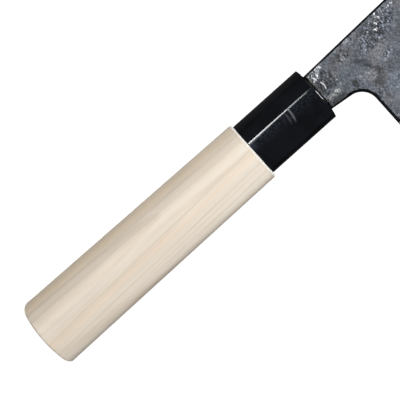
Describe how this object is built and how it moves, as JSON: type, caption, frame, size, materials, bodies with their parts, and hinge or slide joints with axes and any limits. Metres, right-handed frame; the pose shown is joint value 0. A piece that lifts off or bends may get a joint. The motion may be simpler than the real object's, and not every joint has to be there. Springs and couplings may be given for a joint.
{
  "type": "nakiri knife",
  "caption": "Square-tipped vegetable knife with a dark forged laminated blade, a black ferrule and a pale wooden handle ridged along its right side.",
  "frame": {"origin": "middle of the knife's length and thickness, on the lowest line of its cutting edge", "axes": "+X from the butt of the handle to the tip of the blade, +Z from the cutting edge to the spine, so -Y is the knife's right side"},
  "size_m": [0.3116, 0.0211, 0.055],
  "materials": {
    "core_steel": "ground",
    "forged_iron": "dark forge scale, hammered",
    "black_ferrule": "polished",
    "ho_wood": "bare, fine sanded",
    "dowel_wood": "bare",
    "resin": "cast"
  },
  "bodies": {
    "root": {"blade_core": "core_steel", "right_cladding": "forged_iron", "left_cladding": "forged_iron", "ferrule": "black_ferrule", "wooden_handle": "ho_wood", "tang_dowel": "dowel_wood", "resin_collar": "resin"}
  },
  "joints": []
}
